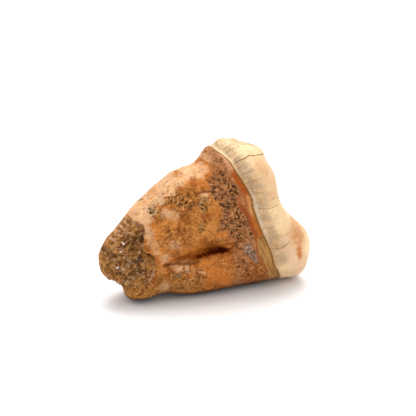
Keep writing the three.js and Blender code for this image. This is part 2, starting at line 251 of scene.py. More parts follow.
# Relief in millimetres, outwards positive. Marks on the side with the open furrow are placed by l and h.
# A furrow's length is where it starts, is full, fades and ends; its widths are above and below its line.
openFurrow = {
    "side": 1, "depth": 1.75, "length": (-18.5, -9.6, -7.3, -5.6), "widths": (2.1, 0.5),
    "line": [(-19, 2.1), (-16, 1.6), (-13, 0.95), (-11, 0.5), (-9.7, 0.1), (-8.4, -0.4), (-6.9, -1.2), (-4, -1.8)],
}
furrowLip = {                # hangs over the open furrow from below
    "side": 1, "depth": -0.35, "length": (-14, -10, -7, -5), "widths": (0.5, 0.5),
    "line": openFurrow["line"], "offset": -0.85,
}
furrowSlot = {               # the narrow open crack along the furrow's lower wall
    "side": 1, "depth": 0.55, "length": (-15.5, -10, -7, -6.2), "widths": (0.5, 0.24),
    "line": [
        (-17, 1.4), (-15.8, 1), (-14.4, 0.6), (-13.2, 0.35), (-12.2, 0.15), (-11, -0.05), (-10, -0.3), (-9, -0.62),
        (-8, -1), (-7.3, -1.35), (-6.6, -1.55), (-5.8, -1.6)],
    "shadeBelow": 0.25,      # how far the painted shade reaches below the line
}
shallowFurrow = {
    "side": -1, "depth": 1, "length": (-22, -14, -6, -2.5), "widths": (2.2, 1.7),
    "line": [(-24, 2.2), (-17, 2), (-10, 1.2), (-3, 0.4)],
}
furrowReachB = 3             # b at which every furrow has its full depth
broken = {
    "edge": [                # (l, h)
        (-3.5, -25), (-2.2, -23.2), (-0.6, -20.9), (0.5, -19.2), (1.4, -18.8), (2.6, -18.2), (3.4, -18.1),
        (4.2, -18.3), (5.2, -19.3), (6.2, -18.8), (7.2, -18.2), (8.2, -17.6), (9.3, -17.3), (10, -18.3), (11, -19.5)],
    "depth": 0.6, "edgeWidth": 0.25, "fromL": -0.9, "toL": 0.3,
    "formB": (-1, 1), "paintB": (-2.6, -1),     # b over which the recess and its colours grow in
    "ragged": 0.35, "raggedSize": 0.7,
    "lumps": [(1.9, 0.26), (0.8, 0.18), (0.42, 0.12)],   # (size, rise)
    "shards": [(1.1, 0.3, 2), (0.55, 0.26, 9)],          # (size, rise, seed)
}
brokenSpots = {  # kind: [(l, h, along l, along h, strength)] on the broken face
    # painted shade in the hollows of the broken face and under its edge
    "sunkenShade": [
        (3.3, -21, 1.2, 0.4, 1), (7.2, -18.6, 0.7, 0.35, 0.8), (9.1, -17.9, 0.2, 0.4, 0.6),
        (5.1, -23.3, 0.4, 0.3, 0.7), (3.5, -22.9, 0.7, 0.3, 0.7), (4.3, -21.6, 0.4, 0.4, 0.9),
        (7.4, -20.7, 0.3, 0.5, 0.9), (4.8, -20.1, 0.6, 0.3, 1), (7, -24.3, 0.3, 0.4, 0.9),
        (6.5, -23.6, 0.3, 0.4, 0.8), (3.5, -24.8, 0.5, 0.3, 0.6), (4.8, -18.9, 0.5, 0.18, 1),
        (3.9, -18.45, 0.5, 0.16, 1), (2.9, -18.4, 0.6, 0.14, 1), (1.8, -18.6, 0.5, 0.14, 0.8),
        (0.8, -19.1, 0.4, 0.14, 0.7), (5.7, -19.4, 0.5, 0.25, 0.8), (1.6, -22.9, 0.4, 0.6, 0.6),
        (2.2, -21, 0.5, 0.3, 0.7), (6.2, -20, 0.3, 0.8, 0.5), (5.8, -21.6, 0.3, 0.4, 0.6),
        (2.4, -22.2, 0.3, 0.4, 0.6), (7.8, -19.6, 0.3, 0.5, 0.4), (6.6, -20.2, 1.4, 1.1, 0.45),
        (4.2, -20.8, 1.3, 0.9, 0.5), (4.6, -22.4, 1.2, 0.8, 0.35), (6.9, -24, 0.8, 0.7, 0.4),
        (2.6, -22.4, 1.2, 0.9, 0.35)],
    "glints": [
        (4.3, -24.2, 0.3, 0.3, 1), (3.8, -23.5, 0.22, 0.3, 1), (7.7, -21.4, 0.35, 0.18, 0.9),
        (6.6, -22.4, 0.16, 0.28, 0.8), (4.7, -21.9, 0.5, 0.14, 0.8), (4.5, -20.9, 0.45, 0.13, 0.9),
        (2.7, -21.6, 0.25, 0.2, 0.6), (5.4, -22.5, 0.14, 0.22, 0.7), (1.4, -23.8, 0.16, 0.22, 0.7)],
    "crystals": [
        (1.6, -23.3, 1, 1.2, 0.7), (0.8, -24.3, 0.6, 0.6, 0.7), (4.5, -22, 2.4, 1.8, 0.6),
        (8.6, -20.6, 0.4, 1.8, 0.4)],
    "pinkish": [
        (9.1, -20.1, 0.14, 0.5, 1), (8.7, -19.8, 0.12, 0.7, 0.9), (9.5, -19.4, 0.14, 0.6, 0.9),
        (8.5, -20.9, 0.12, 0.5, 0.8), (9.7, -18.2, 0.25, 0.4, 1), (9.4, -17.8, 0.2, 0.3, 0.9),
        (8.9, -18.4, 0.3, 0.3, 0.6), (8.1, -22.3, 0.14, 0.4, 0.8), (3, -19.35, 0.5, 0.12, 1),
        (3.7, -19.7, 0.12, 0.4, 0.9), (2.6, -20.2, 0.4, 0.14, 0.9), (2.4, -19.1, 0.12, 0.3, 0.8),
        (1, -20.2, 0.3, 0.16, 1), (0.7, -19.6, 0.14, 0.3, 0.9), (1.5, -19.7, 0.3, 0.12, 0.8),
        (0.2, -20.8, 0.14, 0.4, 0.7)],
    "warm": [
        (7.4, -22.9, 1.1, 1, 0.9), (5.2, -25.2, 2.2, 0.8, 1), (9.2, -20.4, 0.6, 1.6, 0.9), (2.6, -25.4, 1.5, 0.9, 1),
        (9.2, -18.3, 0.8, 0.7, 0.9), (2, -21.6, 0.6, 0.5, 0.4), (0, -22.4, 1.2, 1.6, 0.9),
        (2.6, -19.4, 1.4, 0.6, 0.9), (0.9, -20, 1, 0.8, 0.9)],
}
spots = [  # (l, h, rise, along l, along h) on the furrow's side
    (1.9, -19.2, -0.5, 1.2, 0.6), (3.2, -18.1, 0.3, 1.3, 0.35), (0.2, -18, 0.3, 0.9, 0.9),
    (-0.9, -13.2, 0.35, 0.6, 2.6), (-2.4, -14.4, -0.25, 0.9, 1.6), (-5.5, -7.5, 0.3, 2.4, 3.5), (7, -9, 0.3, 3, 5),
    (9.6, -3.4, -0.35, 2.2, 1.3), (4.4, -4.4, -0.22, 1.7, 1.6), (8.8, -14.2, -0.18, 1.2, 1.6),
    (6.4, -9.6, -0.25, 1, 1), (-5.3, -3.2, -0.2, 1.5, 0.8), (1.2, 3.2, -0.2, 1.6, 2.6), (0.1, -15.3, 0.22, 0.35, 1.1),
    (-0.5, -14.3, 0.2, 0.3, 0.5), (-1.5, -15.6, -0.22, 0.5, 0.8), (-1.4, -13.8, -0.2, 0.4, 0.5),
    (3.6, -18.5, -0.4, 0.7, 0.25), (2.8, -19.6, 0.45, 1.3, 0.3), (3.3, -21, -0.4, 1, 0.35),
    (7, -18.7, -0.3, 0.8, 0.45), (8, -22.4, 0.25, 0.8, 1.2), (4.4, -24.2, 0.3, 0.5, 0.5),
    (7.9, -9.6, -0.15, 0.35, 1.2), (-3.2, -2.9, -0.12, 1.4, 0.6),
]
spotsFromB, spotsFullAtB = 1, 4   # b over which the spots and the cracks grow in
cracks = [  # ([(h, l) along the crack], width, depth)
    ([(-6, 0), (-5, -0.35), (-4, -0.6)], 0.2, 0.16),
    ([(-7.2, 9.9), (-6.3, 9.7), (-5.6, 9.45), (-5, 9.2)], 0.16, 0.14),
    ([(-21.2, -0.6), (-20.3, -0.2), (-19.6, 0.1)], 0.16, 0.14),
    ([(-22.8, -1.9), (-22.1, -1.6), (-21.5, -1.1)], 0.16, 0.12),
    ([(-11.5, 7.8), (-10.5, 8.05), (-9.4, 8.3), (-8.5, 8.7)], 0.2, 0.12),
    ([(-17.2, 1.45), (-16.1, 1.1), (-15.1, 0.78), (-14, 0.22), (-12.6, -0.22), (-11.8, -0.25)], 0.2, 0.24),
    ([(-14.6, 1.35), (-13.3, 0.9), (-12.4, 0.45), (-11.4, 0.1)], 0.34, 0.16),
]
rootLumps = [(5.5, 0.22), (2.2, 0.1)]                 # (size, rise)
rootGrain = [(1.3, 0.05), (0.7, 0.04), (0.38, 0.025)]
pits = {
    "coarse": {"size": 0.62, "radius": 0.5, "depth": 0.24, "seed": 3},
    "fine": {"size": 0.42, "radius": 0.52, "depth": 0.14, "seed": 11},
    "drift": 0.45,
}
neck = {
    # (l, h) where the smooth rim under the enamel begins, and where the pitted band under it begins
    "rimFrom": [
        (-13, -1.5), (-10, -1.6), (-7.5, -1.8), (-6, -2), (-5, -2.2), (-4, -2), (-2, -1.6), (-1, -1.3), (0, -1.5),
        (2, -1.2), (4, -1.5), (5.8, -1.7), (7, -0.7), (8, -0.4), (9, -0.8), (10, -0.7), (12, -0.2), (13.5, -0.1)],
    "bandFrom": [
        (-13, -5.5), (-11, -6.4), (-9, -7.2), (-6, -7), (-4, -6.2), (-2, -6), (0, -4.6), (1, -5.4), (2, -5.3),
        (3, -6.2), (4, -6.1), (5, -4.9), (7, -4.5), (8, -4.9), (9, -4.7), (10, -4.2), (11, -3), (12, -1.7),
        (13.5, -1)],
    "collarFrom": -0.8, "collarTo": -3,        # l over which the layered collar grows in
    "collarLine": 0.34, "collarRise": 0.03,    # spacing and height of the collar's fine ridges
    "rimRise": 0.08,
}
enamel = {
    "step": 0.25, "stepWidth": 0.35, "fadesAt": 8, "endsAt": 12.5,
    "ribRise": 0.07, "ribSpacing": 2.6, "fineRibRise": 0.02, "fineRibSpacing": 0.9,
}
crownMarks = [   # ([(h, l)] along the mark, half width, darkness) on the furrow's side
    # cracks that run up the crown
    ([(1.9, 13), (3.4, 12.7), (4.8, 11.8)], 0.1, 0.35),
    ([(1.5, 12.6), (2.5, 12.7), (3.7, 12.3), (5, 11.8), (6.4, 10.6)], 0.1, 0.5),
    ([(1, 11.1), (2.3, 11.3), (3.8, 11), (5.1, 10.4), (6.8, 9.2)], 0.15, 0.9),
    ([(3.4, 3.65), (4.2, 3.5), (5.2, 3)], 0.12, 0.45),
    ([(1, 3.3), (2.1, 2.8), (3.1, 2.4), (4.6, 2.2)], 0.12, 0.65),
    ([(0.4, -4.5), (1, -4.9), (1.7, -5.1), (2.6, -5), (3.7, -4.7)], 0.15, 0.9),
    # painted shade along folds in the enamel
    ([(0.9, 9.3), (2.1, 9.4), (3.4, 9.3)], 0.3, 0.35), ([(1.2, 7.9), (2.2, 7.9), (3.1, 7.9)], 0.3, 0.3),
    ([(1.3, 5.9), (2.3, 5.7), (3, 5.5)], 0.2, 0.4),
    # short straight marks by the edge
    ([(0.9, 12.8), (2.2, 13)], 0.09, 0.5), ([(0.9, 12.5), (2.4, 12.9)], 0.1, 0.6),
    ([(1, 12.2), (2.4, 12.6)], 0.1, 0.6), ([(1.1, 11.9), (2.3, 12.3)], 0.09, 0.55),
    ([(1.2, 11.6), (2.2, 12)], 0.09, 0.45), ([(0.9, 10.6), (1.9, 10.8)], 0.1, 0.6),
    ([(0.9, 10.2), (1.9, 10.5)], 0.11, 0.7), ([(0.9, 9.8), (1.8, 10.1)], 0.1, 0.6),
    ([(1.1, 8.7), (1.8, 8.8)], 0.09, 0.4), ([(1.1, 7.3), (2, 7.2)], 0.1, 0.55),
    ([(1.1, 6.7), (2, 6.7)], 0.1, 0.6), ([(1.2, 6.3), (1.8, 6.25)], 0.1, 0.45),
    ([(1.1, -0.6), (2.5, -1.1)], 0.09, 0.4), ([(1, -1.4), (2.6, -1.9)], 0.09, 0.45),
    ([(0.8, -2.4), (2.4, -2.85)], 0.09, 0.45), ([(0.6, -3.2), (2.3, -3.65)], 0.09, 0.5),
    ([(0.5, -3.9), (2.2, -4.3)], 0.09, 0.45),
]
# (h, l) down the border in front of which the enamel lies in thin leaves
leafEdge = [(0.2, -9.2), (1.1, -10), (2.1, -10.3), (3, -10.1), (4.5, -10), (6.5, -10.9)]
patchEdges = [(0.9, 0.35), (0.35, 0.16)]   # (size, reach) of the waves in a patch's outline
patches = {  # kind: [(l, h, along l, along h, strength)] on the furrow's side
    "tan": [
        (-1.2, -23.6, 2.2, 1.2, 1), (-2.6, -20.2, 1.6, 2.2, 1), (-4.4, -17, 1.4, 2.4, 0.7),
        (-1, -22.2, 1.5, 1.7, 0.9), (-2.5, -17.5, 1.6, 2.6, 0.7), (-4.3, -14, 1.4, 2.4, 0.6),
        (-0.6, -18.4, 1, 1, 0.5), (10.6, -8.2, 0.6, 0.8, 0.6), (-3.6, -17, 1.2, 3, 0.5)],
    "rust": [
        (-8.2, -3.2, 2.8, 1.7, 1), (5.8, -12.6, 0.5, 0.7, 0.6), (1, -8.3, 0.9, 1.3, 0.8), (-4.2, -2, 2.4, 0.2, 0.8),
        (2, -14.5, 0.7, 0.4, 0.7), (2.9, -12, 0.4, 0.4, 0.6), (11.2, -12.6, 0.3, 0.4, 0.6),
        (10.3, -10.5, 0.7, 1, 0.5), (5.3, -1.9, 0.5, 0.4, 0.6), (-1.6, -5.3, 0.8, 0.8, 0.5),
        (-6, -4.8, 1.8, 1.6, 0.3)],
    "glow": [
        (8.3, -15.5, 0.7, 0.4, 0.9), (7, -15.8, 0.7, 1.8, 0.7), (9.8, -12.5, 0.4, 0.7, 0.6),
        (11.5, -3.7, 0.5, 1.7, 1), (5.2, -17.2, 1.5, 0.9, 0.6), (4, -17.2, 1, 1, 0.7), (1.6, -13.6, 0.6, 1.2, 0.6),
        (2.3, -6.1, 0.5, 0.8, 0.8), (-1.4, -10.2, 0.9, 1.6, 1), (-3.6, -9.9, 2, 0.9, 1), (-5.8, -8.8, 1.6, 1.1, 1),
        (-4.4, -11.4, 2, 0.9, 0.7), (-1.9, -7.4, 0.5, 1, 0.7), (1.2, -10.8, 1, 1.6, 0.6), (10.8, -5, 0.9, 1.1, 0.6),
        (11.6, -2.4, 0.3, 0.6, 0.8), (6.2, -5.9, 0.9, 0.9, 0.4)],
    "pale": [
        # partly painted light: the stretches along the back edge, which lies uppermost, are paler for the light from
        # above; the rest are the root's own pale tone
        (12.6, -4.6, 0.5, 2.2, 0.8), (12, -10, 0.4, 2, 0.6), (11.2, -14.6, 0.6, 2.2, 0.6),
        (10.6, -17.4, 0.6, 1.4, 0.7), (8.1, -17.3, 1.2, 1, 0.65), (9.7, -16.5, 0.6, 1.3, 0.8),
        (10.5, -15.4, 0.5, 1.3, 0.9), (11, -13.4, 0.4, 1.2, 0.85), (11.5, -11, 0.45, 1.4, 0.8),
        (9.4, -13, 0.6, 0.7, 0.6), (8.6, -12.2, 0.7, 0.9, 0.5), (9.3, -5.9, 0.35, 0.6, 0.8),
        (-0.1, -15.4, 0.4, 0.6, 0.8), (0.6, -15.9, 0.2, 0.5, 0.7), (0.2, -14.7, 0.14, 0.4, 0.6),
        (-1.4, -13.1, 0.2, 0.3, 0.7), (-2.3, -12.3, 0.2, 0.4, 0.7), (-0.4, -14.1, 0.35, 0.4, 0.7),
        (-2.8, -11.8, 0.3, 0.4, 0.6), (4.4, -14.3, 0.8, 0.7, 0.35), (3.6, -13.5, 0.8, 0.4, 0.3),
        (-2.5, -18.5, 1, 1, 0.5), (0.45, -13.5, 0.12, 1.5, 0.5), (12.3, -8.6, 0.35, 1.8, 0.8),
        (12.3, -6.4, 0.35, 1.4, 0.8), (11.7, -4.1, 0.45, 1.2, 0.75), (12.6, -1.2, 0.7, 1, 0.6),
        (5.2, -17.2, 1.6, 0.6, 0.45), (2.6, -16.6, 0.7, 0.9, 0.5), (8.3, -7.4, 0.3, 0.4, 0.5),
        (11.2, -0.7, 0.8, 0.5, 0.4)],
    "mossy": [
        (10.4, -14.6, 0.45, 0.45, 0.9), (11, -13.4, 0.3, 0.4, 0.8), (9, -13.7, 0.3, 0.45, 0.7),
        (8.8, -11.6, 0.35, 0.4, 0.6), (8.6, -6.6, 0.7, 0.7, 0.85), (7.4, -7.6, 0.6, 0.5, 0.7),
        (4.7, -9.3, 0.6, 0.6, 0.85), (5.3, -8.9, 0.5, 0.4, 0.6), (4.2, -15, 0.45, 0.3, 0.7),
        (4.2, -11.6, 0.25, 0.25, 0.7), (8.2, -4.5, 0.4, 0.6, 0.8), (-0.8, -16.4, 0.35, 0.4, 0.8)],
    "dark": [
        (9.5, -10.5, 0.25, 0.5, 0.8), (9.9, -9.4, 0.25, 0.4, 0.7), (8.9, -8.9, 0.25, 0.6, 0.9),
        (8.25, -9.9, 0.2, 0.9, 0.6), (6.9, -14.3, 0.18, 0.35, 0.8), (6.4, -15.5, 0.2, 0.25, 0.6),
        (6, -12.3, 0.2, 0.4, 0.6), (6, -16.4, 0.3, 0.3, 0.5), (8.2, -2.9, 0.4, 0.35, 0.95),
        (7.8, -2.4, 0.3, 0.35, 0.8), (7.1, -3.5, 0.35, 0.4, 1), (6.5, -3.6, 0.3, 0.3, 0.7), (6, -2.6, 0.3, 0.4, 0.8),
        (5.4, -3.4, 0.25, 0.3, 0.7), (9, -2.6, 0.2, 0.3, 0.6), (8.8, -3.2, 0.3, 0.3, 0.6), (9.8, -4.2, 0.3, 0.4, 0.8),
        (9.2, -4.1, 0.25, 0.5, 0.8), (4.3, -2, 0.25, 0.3, 0.9), (4.8, -2.3, 0.3, 0.25, 0.5),
        (4.8, -4.2, 0.9, 0.25, 0.5), (3.2, -5.9, 0.35, 0.5, 0.9), (2.6, -4.9, 0.2, 0.6, 0.7),
        (3.3, -6.9, 0.3, 0.3, 0.5), (1.7, -4.2, 0.45, 0.6, 0.9), (1.7, -2.9, 0.35, 0.45, 0.9),
        (2.3, -3.4, 0.3, 0.4, 0.5), (-0.5, -4.9, 0.3, 0.5, 0.8), (-1.4, -4, 0.4, 0.25, 0.7),
        (-3.6, -5.5, 0.3, 0.45, 0.8), (-4.6, -5, 0.35, 0.4, 0.9), (-3.1, -4.3, 0.3, 0.25, 0.7),
        (-5.7, -4.5, 0.2, 0.3, 0.6), (1.3, -7.7, 0.25, 0.15, 0.7), (0.75, -13.1, 0.12, 0.45, 0.8),
        (1, -12.4, 0.3, 0.3, 0.5), (1.3, -16.6, 0.15, 0.6, 0.8), (-0.8, -16.4, 0.4, 0.4, 0.8),
        (-0.6, -18.6, 0.4, 0.4, 0.6), (-1, -19.5, 0.4, 0.4, 0.6), (-0.9, -13.6, 0.12, 0.4, 0.7),
        (-1.8, -12.7, 0.12, 0.4, 0.6), (-3.4, -14.5, 0.45, 0.25, 0.6), (-3.9, -13.2, 0.2, 0.25, 0.6),
        (-3.3, -12.6, 0.2, 0.25, 0.6), (-4.6, -12.8, 0.4, 0.2, 0.5), (-2.9, -16, 0.3, 0.3, 0.4),
        (-4.9, -11, 0.5, 0.25, 0.35)],
    "ashen": [
        # the two at h -15.6 and -13.9 are painted shade under the flaky ledge; the rest are the grey patch by the
        # neck
        (-3, -3.1, 1.2, 0.8, 1), (-4.5, -2.9, 1, 0.65, 1), (-5.7, -2.7, 0.6, 0.4, 0.9), (-1.3, -15.6, 0.4, 0.5, 0.6),
        (-1.2, -13.9, 0.6, 0.45, 0.6)],
    "stain": [
        (-8.4, 4.5, 0.8, 0.5, 1), (-7.5, 4.7, 0.9, 0.45, 0.95), (-6.5, 5.1, 0.6, 0.3, 0.6),
        (-5.2, 5.3, 1.2, 1.1, 0.5), (-3.5, 5.4, 1.4, 1, 0.45), (-6.4, 6, 1.2, 0.7, 0.3), (-1.5, 5.4, 0.5, 0.35, 0.5),
        (-2.2, 5.9, 0.6, 0.2, 0.5), (-8.9, 4.6, 0.4, 0.5, 0.5), (-3.8, 3.9, 0.7, 0.35, 0.25),
        (-4.3, 1.4, 0.6, 0.4, 0.3), (8.6, 4.6, 1.2, 1, 0.2)],
    "speckled": [
        (9.6, -10.3, 1.3, 1.6, 1), (10.6, -14.4, 0.9, 1.6, 0.8), (9.2, -8.4, 0.8, 0.8, 0.9), (8.3, -6.4, 1, 1, 0.7),
        (-2.5, -15, 1.8, 3, 0.8), (-4.2, -13, 1.2, 2, 0.6), (4.7, -9.2, 0.9, 0.8, 0.6), (5, -13.5, 2.4, 1.6, 0.4),
        (-2, -21, 2, 2, 0.6), (-8, -4, 2.6, 2, 0.45), (1.5, -8, 1.2, 1.2, 0.4), (10.8, -0.8, 1.4, 0.8, 0.4)],
}
patchesFromB, patchesFullAtB = -3.5, -1.5   # b over which they take over from the blotches elsewhere
undersideShadeHeights = (1.9, 0.8)   # painted shade: the root is painted darker between these heights over the floor, for the shade under it
fullTone = {"crack": 0.15, "grain": 0.16, "shard": 0.9}   # relief that turns a colour all the way
farPatches = {  # kind: (size, threshold, softness, strength) of the blotches all round and on the far side
    "pale": (3.4, 0.3, 0.25, 0.75), "glow": (4.2, 0.1, 0.35, 0.8), "mossy": (2.2, 0.45, 0.2, 0.7),
    "dark": (1.7, 0.42, 0.2, 0.7), "ashen": (3, 0.5, 0.2, 0.6), "tan": (5, 0.15, 0.3, 0.6),
    "rust": (3.8, 0.2, 0.3, 0.7), "speckled": (2.6, -0.1, 0.5, 0.9),
    "stain": (2.8, 0.2, 0.3, 0.6),
}
pittedPatches = [  # (l, h, along l, along h, how closely pitted) on the furrow's side
    (7.2, -3.4, 2.2, 0.9, 1), (9.4, -3.9, 0.9, 0.6, 0.9), (3.6, -2.9, 1.6, 1, 0.75), (1.7, -3.9, 0.8, 1.3, 0.85),
    (0.2, -3, 0.8, 0.7, 0.6), (10.8, -2, 1, 0.7, 0.5), (10.4, -14.7, 0.7, 0.6, 0.9), (9.2, -13.6, 0.5, 0.5, 0.5),
    (10.6, -10.8, 0.9, 1.6, 0.8), (8.9, -8.9, 0.5, 0.7, 0.9), (10, -8, 0.8, 1, 0.6), (7.8, -7.1, 1, 0.7, 0.7),
    (4.7, -9.2, 0.7, 0.6, 0.6), (5, -14.8, 0.8, 0.8, 0.25), (-4, -4.8, 1.2, 0.9, 0.6), (-7, -5, 1.2, 1.6, 0.4),
    (-2.7, -12.8, 0.8, 1.2, 0.5), (-3.6, -16.5, 1.2, 2, 0.5), (-0.8, -21.5, 1.2, 1.5, 0.45),
    (6.8, -21.5, 2.4, 2.2, 0.5),
]


def layered(layers, place, shift=0):
    # value noise of falling size added up, each with its own rise
    return sum(rise * unevenAt(place, size, shift) for size, rise in layers)


def furrowRelief(furrow, place):
    # a bell across the furrow's line, wider above it than below, full over part of its length
    l, b, h = place
    start, full, fades, end = furrow["length"]
    length = smoothStep(start, full, h) * smoothStep(end, fades, h)
    off = l - curveThrough(furrow["line"])(h) - furrow.get("offset", 0)
    width = np.where(off > 0, *furrow["widths"])
    return -furrow["depth"] * bell(off / width) * length * smoothStep(0, furrowReachB, furrow["side"] * b)


def breakMask(place, fromB, toB):
    # 1 below a ragged edge curve on the furrow's side, 0 above it
    l, b, h = place
    ragged = broken["ragged"] * unevenAt(place, broken["raggedSize"], 40)
    over = h - curveThrough(broken["edge"])(l) + ragged
    inside = smoothStep(broken["edgeWidth"], -broken["edgeWidth"], over)
    return (inside * smoothStep(fromB, toB, b + 2 * ragged)
            * smoothStep(broken["fromL"], broken["toL"], l + 2 * ragged))


def shardHeight(place, size, seed):
    # every cell is a small tilted facet: its own height plus its own slope times the way from its middle
    _, owner, way = nearestCell(*[v / size for v in place], seed)
    slope = sum(np.sin(owner * turn) * step for turn, step in zip((57, 91, 133), way))
    return (owner - 0.5) * 0.8 + 0.7 * slope


def crackDepth(place):
    # a bell of the distance to the crack's nearest stretch; the deepest crack counts
    l, b, h = place
    depth = 0 * l
    for points, width, rise in cracks:
        nearest = np.full(np.shape(l), 99.0)
        for (h0, l0), (h1, l1) in zip(points[:-1], points[1:]):
            along, up = h1 - h0, l1 - l0
            share = np.clip(((h - h0) * along + (l - l0) * up) / (along**2 + up**2), 0, 1)
            nearest = np.minimum(nearest, np.hypot(h - h0 - share * along, l - l0 - share * up))
        depth = np.maximum(depth, rise * bell(nearest / width))
    return depth * smoothStep(spotsFromB, spotsFullAtB, b)


def crownRelief(place, overEdge):
    # a step up at the enamel's edge, and slow and fine ribs down the wall
    l, b, _ = place
    step = (enamel["step"] * smoothStep(0, enamel["stepWidth"], overEdge)
            * smoothStep(enamel["endsAt"], enamel["fadesAt"], l))
    wide, fine = enamel["ribSpacing"], enamel["fineRibSpacing"]
    ribs = (enamel["ribRise"] * unevenness(l / wide, b / wide, 0 * l)
            + enamel["fineRibRise"] * unevenness(l / fine, b / fine, 0 * l + 5))
    return step + ribs * smoothStep(0, 1, overEdge)


def patchMask(kind, place):
    # ragged ellipses on the furrow's side joined with blotches of noise elsewhere, from 0 to 1
    l, b, h = place
    lWarped, hWarped = (sum((reach * unevenAt(place, size, shift) for size, reach in patchEdges), v)
                        for v, shift in ((l, 7), (h, 19)))
    left = 1
    for atL, atH, alongL, alongH, strength in patches[kind]:
        off = np.hypot((lWarped - atL) / alongL, (hWarped - atH) / alongH)
        left = left * (1 - strength * smoothStep(1.5, 0.6, off))
    size, threshold, softness, strength = farPatches[kind]
    shift = 3.7 * (1 + list(farPatches).index(kind))
    warped = (lWarped, b, hWarped)
    blotch = unevenAt(warped, size, shift) + 0.4 * unevenAt(warped, size / 3, shift)
    far = strength * smoothStep(threshold, threshold + softness, blotch)
    near = smoothStep(patchesFromB, patchesFullAtB, b)
    return near * (1 - left) + (1 - near) * far


def spotMask(spotList, place):
    # the strongest of some elliptical bells
    l, _, h = place
    return np.max([strength * bell((l - atL) / alongL, (h - atH) / alongH)
                   for atL, atH, alongL, alongH, strength in spotList], axis=0)


def nearestMark(place):
    # the nearest of the crown's marks: how far off it lies along l, its half width, and its darkness here
    l, _, h = place
    nearest = np.full(np.shape(l), 99.0)
    offset, halfWidth, dark = nearest, 0 * l, 0 * l
    for line, width, darkness in crownMarks:
        off = l - curveThrough(line)(h)
        start, end = line[0][0], line[-1][0]
        distance = np.abs(off) + 3 * (np.maximum(start - h, 0) + np.maximum(h - end, 0))
        closer = distance < nearest
        nearest = np.where(closer, distance, nearest)
        offset = np.where(closer, off, offset)
        halfWidth = np.where(closer, width, halfWidth)
        fading = smoothStep(start - 0.1, start + 0.2, h) * smoothStep(end + 0.2, end - 0.4, h)
        dark = np.where(closer, darkness * fading, dark)
    return offset, halfWidth, dark


def pitCloseness(place, overBand):
    # how closely the surface is pitted, from 0 to 1: patches, the band under the neck, and loose groups
    l, b, h = place
    left = 1
    for atL, atH, alongL, alongH, closeness in pittedPatches:
        left = left * (1 - closeness * bell((l - atL) / alongL, (h - atH) / alongH))
    near = smoothStep(patchesFromB, patchesFullAtB, b)
    loose = smoothStep(0.1, 0.7, unevenAt(place, 1.9, 5))
    inBand = smoothStep(-0.5, 0.6, overBand)
    far = np.maximum(0.75 * inBand * smoothStep(-0.3, 0.5, unevenAt(place, 1.5)), 0.45 * loose)
    close = 0.3 + 0.5 * smoothStep(-3, 0.5, l) * smoothStep(10.6, 9.2, l) - 0.2 * smoothStep(-4.5, -6, l)
    return near * np.maximum(1 - left, close * inBand + 0.12 * loose) + (1 - near) * far


def pitMask(kind, place, closeness):
    # uneven hollows about the cells' points; a cell is open when its own random value is under the closeness
    size, radius, seed = (pits[kind][key] for key in ("size", "radius", "seed"))
    l, b, h = (v / size for v in place)
    drift = [pits["drift"] * unevenness(l + 3, b, h + turn) for turn in (0, 20, 40)]
    distance, owner, _ = nearestCell(l + drift[0], b + drift[1], h + drift[2], seed)
    return smoothStep(owner, owner + 0.12, closeness) * smoothStep(radius, 0.45 * radius, distance)


def layDown(points):
    # x = h cos a - l sin a, y = -b, z = h sin a + l cos a
    angle = np.radians(tooth["lieAngle"])
    l, b, h = np.moveaxis(points, -1, 0)
    return np.stack([h * np.cos(angle) - l * np.sin(angle), -b, h * np.sin(angle) + l * np.cos(angle)], -1)


def seatInBox(points):
    # centred in the solid's box with the tops level, made smaller if it would stand out of that box, and
    # flat where it would reach below the floor
    low, high = [np.array(corner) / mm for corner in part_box("tooth")]
    size = points.max(axis=(0, 1)) - points.min(axis=(0, 1))
    points = points * min(1.0, ((high - low) / size)[:2].min())
    shift = (low + high - points.max(axis=(0, 1)) - points.min(axis=(0, 1))) / 2
    shift[2] = high[2] - points[..., 2].max()
    points = points + shift
    points[..., 2] = np.maximum(points[..., 2], 0)
    return points


def meshOf(name, points, attributes):
    # rows of the grid joined by quads, with one vertex and a fan of triangles at either pole
    rows, columns = points.shape[:2]
    inner = points[1:-1].reshape(-1, 3)
    vertices = np.concatenate([inner, points[:1, 0], points[-1:, 0]])
    index = np.arange((rows - 2) * columns).reshape(rows - 2, columns)
    right = np.roll(index, -1, axis=1)
    quads = np.stack([index[:-1], right[:-1], right[1:], index[1:]], -1).reshape(-1, 4)
    first, last = len(inner), len(inner) + 1
    bottomFan = np.stack([np.full(columns, first), right[0], index[0]], -1)
    topFan = np.stack([np.full(columns, last), index[-1], right[-1]], -1)
    mesh = bpy.data.meshes.new(name)
    mesh.from_pydata((vertices * mm).tolist(), [], quads.tolist() + bottomFan.tolist() + topFan.tolist())
    for key, values in attributes.items():
        isVector = values.ndim == 3
        kind = "FLOAT_VECTOR" if isVector else "FLOAT"
        layer = mesh.attributes.new(key, kind, "POINT")
        flat = np.concatenate([values[1:-1].reshape(-1, *values.shape[2:]), values[:1, 0], values[-1:, 0]])
        layer.data.foreach_set("vector" if isVector else "value", flat.astype(np.float32).ravel())
    mesh.shade_smooth()
    mesh.update()
    piece = bpy.data.objects.new(name, mesh)
    bpy.context.scene.collection.objects.link(piece)
    return piece


